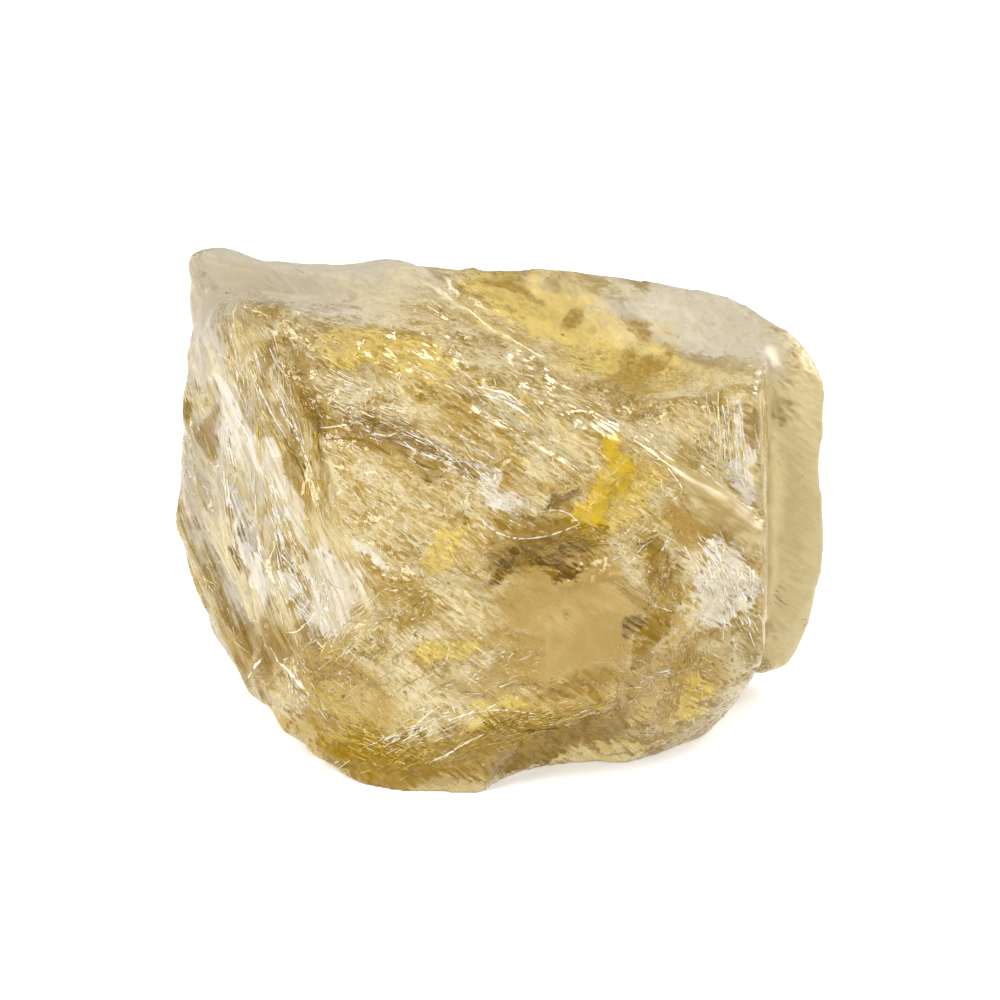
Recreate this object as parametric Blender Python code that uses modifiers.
# A rough chunk of fenster quartz: one broken piece of pale golden crystal.
#
# The stone rests on a flat fracture face. Seen from the front (-Y) it has a tall left shoulder, a left
# flank with long flutes, a big shelly front face, a crest that runs down to the right with a valley
# behind it, and a lower block behind that steps out past the front one on the right.
import math

import bmesh
import bpy
from mathutils import Matrix, Vector, noise
from mathutils.bvhtree import BVHTree

NODE_NAME = "quartz_chunk"
MM = 0.001

# Main forms. Each lump is the hull of its corners, in millimetres: x to the right, y away from the front
# edge of the base, z up from the base.
FRONT_LUMP = (
    # lower edge, left to right
    (-12.6, 7.2, 2.7), (-10.0, 3.7, 1.1), (-7.6, 1.7, 0.2), (-5.1, 0.6, -0.5), (-1.2, 0.3, -0.5),
    (2.0, 1.4, -0.5), (7.4, 5.4, -0.5), (10.0, 8.0, -0.4), (11.6, 9.6, 0.7), (11.9, 9.4, 2.4),
    # right edge, and the thin slanting facet above it
    (13.2, 5.5, 5.2), (13.2, 5.6, 10.3), (13.2, 6.9, 11.7), (8.0, 6.2, 15.3), (6.3, 8.0, 16.4),
    (4.5, 6.8, 17.3),
    # crest of the front lump, right to left
    (4.4, 8.6, 17.8), (1.5, 10.5, 19.4), (-1.4, 12.0, 20.5), (-4.0, 13.2, 21.0), (-8.0, 12.8, 21.3),
    (-12.7, 8.5, 22.7),
    # front edge of the top
    (-9.8, 7.5, 21.9), (-4.9, 5.4, 19.9), (-1.9, 5.1, 19.2),
    # left edge, top to bottom
    (-15.6, 11.0, 19.3), (-15.8, 9.5, 14.6), (-16.4, 8.8, 10.7), (-15.3, 9.0, 7.4), (-14.5, 9.0, 5.1),
    # corners on the front face
    (-10.0, 5.8, 17.6), (-8.1, 3.9, 13.9), (-5.6, 1.7, 9.6), (-9.9, 4.0, 6.1), (-3.0, 0.5, 7.0),
    (5.2, 1.3, 4.4), (9.4, 2.9, 8.8),
    # where it runs into the middle and back lumps
    (-14.8, 13.0, 21.6), (-15.3, 13.0, 14.0), (-14.3, 13.4, 6.0), (13.0, 10.0, 10.4), (12.7, 11.4, 3.0),
    (-9.0, 16.0, 17.0), (5.0, 14.0, 14.0), (-10.0, 17.0, -0.5), (8.0, 17.0, -0.5),
)
MIDDLE_LUMP = (
    (6.6, 8.6, 15.6), (9.9, 10.6, 17.9), (12.9, 10.5, 17.2), (13.2, 8.6, 11.4), (12.9, 9.5, 4.0),
    (13.4, 16.0, 18.2), (13.6, 14.0, 3.0), (2.0, 13.0, 16.6), (3.0, 17.0, 18.6), (2.0, 10.0, 4.0),
)
BACK_LUMP = (
    # rim of the top, left to right
    (-15.6, 13.0, 23.8), (-14.6, 14.2, 23.8), (-10.6, 17.0, 22.1), (-4.0, 19.0, 20.7), (-2.0, 18.8, 21.2),
    (2.0, 19.3, 20.9), (6.1, 19.5, 20.5), (10.3, 19.5, 19.9), (12.6, 19.0, 19.3), (14.6, 17.5, 18.4),
    (15.7, 16.5, 17.6), (16.4, 15.0, 16.4), (16.6, 13.7, 14.3),
    # right edge, top to bottom
    (16.5, 13.0, 6.9), (16.0, 13.5, 4.6), (15.2, 14.0, 2.3), (14.7, 14.4, 1.2), (13.2, 12.5, 1.5),
    # left edge
    (-15.2, 12.0, 10.0), (-14.4, 12.5, 4.4),
    # back of the stone
    (-14.4, 19.0, 18.4), (-13.6, 21.0, 9.0), (-11.0, 20.5, 2.2), (-6.5, 23.2, 15.5), (-3.5, 24.0, 8.0),
    (-1.5, 22.2, -0.5), (5.0, 23.8, 13.0), (8.5, 22.4, 4.0), (11.8, 20.8, 14.0), (14.6, 18.0, 8.0),
    (11.0, 18.5, -0.5), (-9.0, 16.0, -0.5),
)

# Big shell-shaped breaks that reach over an edge: centre and radii of the ball that leaves each one, in
# millimetres, and its turn about x, y and z in degrees.
SHELLS = {
    "undercut_arch": ((4.4, -0.6, -1.0), (5.6, 5.0, 4.8), (0, 0, 20)),
    "front_dish": ((1.6, -22.6, 15.4), (13.5, 26.6, 12.0), (10, 8, 2)),
    "crest_valley": ((3.2, 14.4, 22.4), (11.5, 3.6, 4.4), (0, 19, -28)),
    "top_hollow": ((-7.6, 16.5, 38.8), (12.5, 9.0, 17.0), (0, 6, 10)),
    "back_shell": ((1.0, 34.0, 12.5), (16.0, 11.8, 12.5), (0, 12, -8)),
}

# Scars follow the surface that they are cut in: a place on it, the way that the scar runs, and its
# length, width and depth, in millimetres.
SCARS = {
    "flute_far_left": ((-14.5, 8.6, 15.0), (0.12, 0.0, -1.0), 12.0, 2.2, 0.60),
    "flute_left": ((-12.5, 7.0, 14.4), (0.28, -0.2, -0.94), 13.0, 2.3, 0.60),
    "flute_low_left": ((-13.2, 6.7, 8.2), (0.34, -0.2, -0.90), 9.0, 2.2, 0.65),
    "shoulder_flute": ((-11.6, 7.6, 20.6), (0.40, -0.2, -0.88), 5.4, 1.8, 0.50),
    "tongue": ((-9.9, 5.4, 16.2), (0.44, -0.3, -0.84), 8.0, 2.3, 0.85),
    "finger": ((-9.5, 4.3, 9.6), (0.36, -0.3, -0.88), 9.0, 2.1, 0.70),
    "finger_short": ((-7.4, 2.9, 9.6), (0.38, -0.3, -0.87), 5.0, 1.8, 0.50),
    "upper_feather": ((-6.8, 5.8, 19.0), (0.86, 0.0, -0.42), 7.5, 2.4, 0.45),
    "brown_hollow": ((-4.2, 4.3, 16.8), (0.84, 0.0, -0.50), 9.0, 2.6, 0.55),
    "cream_hollow": ((-3.6, 2.7, 12.6), (0.78, 0.0, -0.58), 8.0, 3.4, 0.45),
    "lens_lid": ((2.8, 3.6, 13.6), (1.0, 0.0, 0.10), 6.0, 2.4, 0.50),
    "olive_pocket": ((2.4, 2.8, 11.3), (1.0, 0.0, 0.06), 6.2, 2.4, 0.90),
    "white_step": ((10.9, 4.2, 9.2), (0.30, 0.0, -0.95), 6.4, 2.6, 0.55),
    "low_left_shell": ((-5.4, 1.2, 4.0), (0.80, 0.0, -0.45), 8.0, 4.4, 0.50),
    "low_right_hollow": ((8.6, 3.6, 3.6), (0.25, 0.3, -0.92), 5.6, 2.8, 0.55),
    "left_side_scar": ((-15.4, 16.0, 14.0), (0.0, 0.45, -0.90), 15.0, 8.0, 0.90),
    "left_low_scar": ((-13.6, 17.0, 5.5), (0.0, 0.80, -0.60), 10.0, 5.5, 0.60),
    "right_side_scar": ((16.2, 15.5, 10.5), (0.0, 0.30, -0.95), 11.0, 4.6, 0.60),
    "top_scar": ((9.5, 16.5, 19.4), (0.92, 0.2, -0.15), 9.0, 5.0, 0.45),
    "back_scar": ((-9.5, 21.8, 15.5), (0.70, 0.0, -0.70), 13.0, 7.0, 0.80),
    "back_foot_scar": ((-7.0, 21.0, 4.2), (0.90, 0.0, 0.35), 12.0, 6.5, 0.80),
    "back_right_scar": ((12.6, 20.0, 8.5), (0.20, 0.0, -1.0), 13.0, 6.5, 0.80),
}

# Ledges are flat facets that dip to a small riser: a place on the surface, the way that the riser runs,
# with the facet on its left, and the facet's length, width and drop, in millimetres.
LEDGES = {
    "crest_step": ((0.6, 5.0, 17.2), (0.86, 0.0, -0.50), 9.0, 2.4, 0.50),
    "feather_step": ((-7.2, 5.0, 17.6), (0.90, 0.0, -0.42), 5.5, 2.0, 0.45),
    "gold_step": ((5.9, 4.6, 14.0), (-0.62, 0.0, -0.78), 4.6, 2.6, 0.45),
    "crease_plane": ((7.6, 2.6, 5.0), (-0.72, 0.0, -0.69), 9.0, 4.6, 0.60),
    "cream_step": ((-1.2, 1.8, 10.2), (0.80, 0.0, -0.60), 7.0, 2.2, 0.40),
    "low_step": ((-2.2, 0.8, 4.6), (0.92, 0.0, -0.38), 7.5, 2.0, 0.40),
    "back_step_left": ((-10.5, 21.6, 9.5), (0.45, 0.0, -0.89), 11.0, 4.0, 0.85),
    "back_step_right": ((8.5, 22.0, 9.5), (-0.25, 0.0, -0.97), 10.0, 3.6, 0.75),
    "right_side_step": ((15.6, 17.0, 6.0), (0.0, 0.50, -0.86), 6.0, 2.6, 0.50),
    "top_step": ((-6.5, 16.8, 21.6), (0.95, -0.25, 0.0), 9.0, 2.8, 0.45),
}
# Half the thickness of the ball behind a scar, as a share of the scar's width.
SCAR_ROUND = 0.6

# Relief that the fracture surfaces carry: (length, width, height) of one chip in millimetres, and the
# direction that the chips run in.
FRONT_GRAIN = Vector((0.80, 0.10, -0.59)).normalized()
FLANK_GRAIN = Vector((0.38, -0.34, -0.86)).normalized()
CHIP = (6.0, 2.2, 0.15)
FLANK_EDGE_X = -8.0
FLANK_BLEND = 3.0
SWELL_SIZE = 5.0
SWELL_HEIGHT = 0.12
PLAIN_FOOT = 1.2
CHIP_SEED = 7

REMESH_SIZE = 0.32
WEAR_PASSES = 1
STONE_FACES = 9300


def clear_scene():
    for old in list(bpy.data.objects):
        bpy.data.objects.remove(old, do_unlink=True)


def new_collection(name):
    group = bpy.data.collections.new(name)
    bpy.context.scene.collection.children.link(group)
    return group


def add_object(name, mesh, group, helper):
    made = bpy.data.objects.new(name, mesh)
    group.objects.link(made)
    if helper:
        made.hide_render = True
        made.display_type = "WIRE"
    return made


def hull_of(name, corners, group, helper):
    """The convex lump that a set of corners spans."""
    mesh = bpy.data.meshes.new(name)
    lump = bmesh.new()
    for corner in corners:
        lump.verts.new(Vector(corner) * MM)
    spanned = bmesh.ops.convex_hull(lump, input=lump.verts)
    loose = {g for key in ("geom_interior", "geom_unused") for g in spanned[key]}
    bmesh.ops.delete(lump, geom=[g for g in loose if isinstance(g, bmesh.types.BMVert)], context="VERTS")
    bmesh.ops.recalc_face_normals(lump, faces=lump.faces)
    lump.to_mesh(mesh)
    lump.free()
    return add_object(name, mesh, group, helper)


def ball(name, place, group):
    """A ball of radius 1 m, put in place, turned and stretched by a matrix in metres."""
    mesh = bpy.data.meshes.new(name)
    body = bmesh.new()
    bmesh.ops.create_icosphere(body, subdivisions=4, radius=1.0, matrix=place)
    body.to_mesh(mesh)
    body.free()
    return add_object(name, mesh, group, helper=True)


def block(name, place, group):
    """A cube with 1 m sides, put in place, turned and stretched by a matrix in metres."""
    mesh = bpy.data.meshes.new(name)
    body = bmesh.new()
    bmesh.ops.create_cube(body, size=1.0, matrix=place)
    body.to_mesh(mesh)
    body.free()
    return add_object(name, mesh, group, helper=True)


def stretch(sizes):
    return Matrix.Diagonal((*(size * MM for size in sizes), 1.0))


def shell_ball(name, centre, radii, turn, group):
    """The cutter of one big shell-shaped break."""
    turned = Matrix.LocRotScale(Vector(centre) * MM, None, None)
    for axis, angle in zip("ZYX", reversed(turn)):
        turned = turned @ Matrix.Rotation(math.radians(angle), 4, axis)
    return ball(name, turned @ stretch(radii), group)


def axes_on(surface, spot, way):
    """The nearest place on the surface, with x along the way, z out of the stone and y to its left."""
    place, out, _, _ = surface.find_nearest(Vector(spot) * MM)
    along = Vector(way)
    along = (along - out * along.dot(out)).normalized()
    left = out.cross(along)
    axes = Matrix((along, left, out)).transposed().to_4x4()
    axes.translation = place
    return axes


def scar_ball(name, axes, length, width, depth, group):
    """The stretched ball whose mouth on the surface has the scar's length and width."""
    bulge = SCAR_ROUND * width
    mouth = math.sqrt(1.0 - ((bulge - depth) / bulge) ** 2)
    radii = (length / 2 / mouth, width / 2 / mouth, bulge)
    lifted = axes @ Matrix.Translation((0.0, 0.0, (bulge - depth) * MM))
    return ball(name, lifted @ stretch(radii), group)


def ledge_block(name, axes, length, width, drop, group):
    """The tilted block whose underside leaves the ledge's facet, deepest at the riser."""
    height = width
    tilted = axes @ Matrix.Translation((0.0, width / 2 * MM, -drop / 2 * MM))
    tilted = tilted @ Matrix.Rotation(math.asin(drop / width), 4, "X")
    lifted = tilted @ Matrix.Translation((0.0, 0.0, height / 2 * MM))
    return block(name, lifted @ stretch((length, width, height)), group)


def add_boolean(stone, other, operation):
    step = stone.modifiers.new(other.name, "BOOLEAN")
    step.operation = operation
    step.object = other
    step.solver = "EXACT"


def evaluated_mesh(stone):
    bpy.context.view_layer.update()
    graph = bpy.context.evaluated_depsgraph_get()
    return bpy.data.meshes.new_from_object(stone.evaluated_get(graph))


def use_mesh(stone, mesh):
    """Makes the modelled result the stone's own mesh, with no modifiers left."""
    stone.modifiers.clear()
    stone.data = mesh


def surface_of(mesh):
    return BVHTree.FromPolygons([v.co for v in mesh.vertices], [list(face.vertices) for face in mesh.polygons])


def chip(place, grain, size):
    """Height of a patchwork of small tilted fracture facets, long in the grain's direction."""
    length, width, height = size
    along = place.dot(grain)
    stretched = (place - grain * along) / width + grain * (along / length)
    _, centres = noise.voronoi(stretched)
    tilt = noise.noise_vector(centres[0] * 7.3)
    level = noise.noise(centres[0] * 3.1)
    return height * (1.6 * tilt.dot(stretched - centres[0]) + level)


def relief(place):
    """How far the broken surface stands proud of the plain form at a place, both in millimetres."""
    share = min(1.0, max(0.0, (FLANK_EDGE_X - place.x) / FLANK_BLEND + 0.5))
    height = SWELL_HEIGHT * noise.fractal(place / SWELL_SIZE, 1.0, 2.0, 2)
    height += (1.0 - share) * chip(place, FRONT_GRAIN, CHIP) + share * chip(place, FLANK_GRAIN, CHIP)
    return height * min(1.0, max(0.0, place.z / PLAIN_FOOT))


def roughen(mesh):
    """Moves each point along its normal by the relief there, the same way each time."""
    noise.seed_set(CHIP_SEED)
    moved = [p.co + p.normal * (relief(p.co / MM) * MM) for p in mesh.vertices]
    for point, place in zip(mesh.vertices, moved):
        point.co = place
    mesh.update()


def cut_base(mesh):
    """Cuts the stone off flat at z = 0 and closes the cut with one level face."""
    body = bmesh.new()
    body.from_mesh(mesh)
    everything = [*body.verts, *body.edges, *body.faces]
    bmesh.ops.bisect_plane(
        body, geom=everything, dist=1e-7, plane_co=(0, 0, 0), plane_no=(0, 0, 1), clear_inner=True
    )
    rim = [edge for edge in body.edges if edge.is_boundary]
    bmesh.ops.holes_fill(body, edges=rim, sides=0)
    bmesh.ops.triangulate(body, faces=body.faces)
    bmesh.ops.recalc_face_normals(body, faces=body.faces)
    body.to_mesh(mesh)
    body.free()


def centre_on_base(mesh):
    """Puts the middle of the stone's footprint box over the origin."""
    for axis in (0, 1):
        middle = (min(p.co[axis] for p in mesh.vertices) + max(p.co[axis] for p in mesh.vertices)) / 2
        for point in mesh.vertices:
            point.co[axis] -= middle


def quartz_material():
    finish = bpy.data.materials.new("golden_quartz")
    finish.use_nodes = True
    shader = finish.node_tree.nodes["Principled BSDF"]
    shader.inputs["Base Color"].default_value = (0.80, 0.66, 0.38, 1.0)
    shader.inputs["Roughness"].default_value = 0.12
    shader.inputs["Metallic"].default_value = 0.0
    shader.inputs["IOR"].default_value = 1.544
    shader.inputs["Transmission Weight"].default_value = 0.6
    return finish


def join_lumps(crystal, helpers):
    stone = hull_of(NODE_NAME, BACK_LUMP, crystal, helper=False)
    for name, corners in (("middle_lump", MIDDLE_LUMP), ("front_lump", FRONT_LUMP)):
        add_boolean(stone, hull_of(name, corners, helpers, helper=True), "UNION")
    return stone


def cut_breaks(stone, helpers):
    surface = surface_of(evaluated_mesh(stone))
    for name, (centre, radii, turn) in SHELLS.items():
        add_boolean(stone, shell_ball(name, centre, radii, turn, helpers), "DIFFERENCE")
    for name, (spot, way, *sizes) in SCARS.items():
        add_boolean(stone, scar_ball(name, axes_on(surface, spot, way), *sizes, helpers), "DIFFERENCE")
    for name, (spot, way, *sizes) in LEDGES.items():
        add_boolean(stone, ledge_block(name, axes_on(surface, spot, way), *sizes, helpers), "DIFFERENCE")


def build_stone():
    crystal = new_collection("fenster_quartz")
    helpers = new_collection("lumps_and_cutters")
    stone = join_lumps(crystal, helpers)
    cut_breaks(stone, helpers)
    skin = stone.modifiers.new("even_skin", "REMESH")
    skin.mode = "VOXEL"
    skin.voxel_size = REMESH_SIZE * MM
    wear = stone.modifiers.new("worn_edges", "SMOOTH")
    wear.factor = 0.5
    wear.iterations = WEAR_PASSES
    use_mesh(stone, evaluated_mesh(stone))

    roughen(stone.data)
    thin = stone.modifiers.new("fewer_faces", "DECIMATE")
    thin.ratio = STONE_FACES / (2 * len(stone.data.polygons))
    use_mesh(stone, evaluated_mesh(stone))

    cut_base(stone.data)
    centre_on_base(stone.data)
    stone.data.shade_flat()
    stone.data.materials.clear()
    stone.data.materials.append(quartz_material())


clear_scene()
build_stone()
